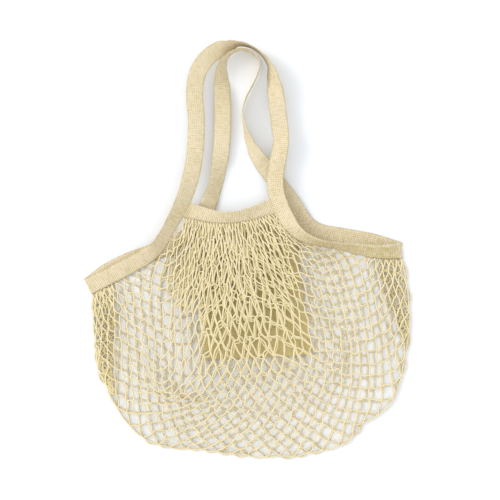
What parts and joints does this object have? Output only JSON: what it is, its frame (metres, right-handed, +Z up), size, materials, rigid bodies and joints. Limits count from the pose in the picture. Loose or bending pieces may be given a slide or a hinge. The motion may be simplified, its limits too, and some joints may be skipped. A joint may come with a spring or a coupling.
{
  "type": "string shopping bag",
  "caption": "Cotton string shopping bag with two tape handles and an inner cloth panel, lying flat on its back.",
  "frame": {"origin": "on the surface the bag lies on, under the middle of its outline", "axes": "+X to the right of the lying bag as seen from above, +Y towards the handles, +Z up"},
  "size_m": [0.4899, 0.6181, 0.03],
  "materials": {
    "tape": "ribbed unbleached cotton tape",
    "string": "twisted unbleached cotton string",
    "cloth": "plain woven unbleached cotton"
  },
  "bodies": {
    "root": {"net_front": "string", "net_back": "string", "tape_front": "tape", "tape_back": "tape", "band_front": "tape", "band_back": "tape", "pocket_panel": "cloth"}
  },
  "joints": []
}
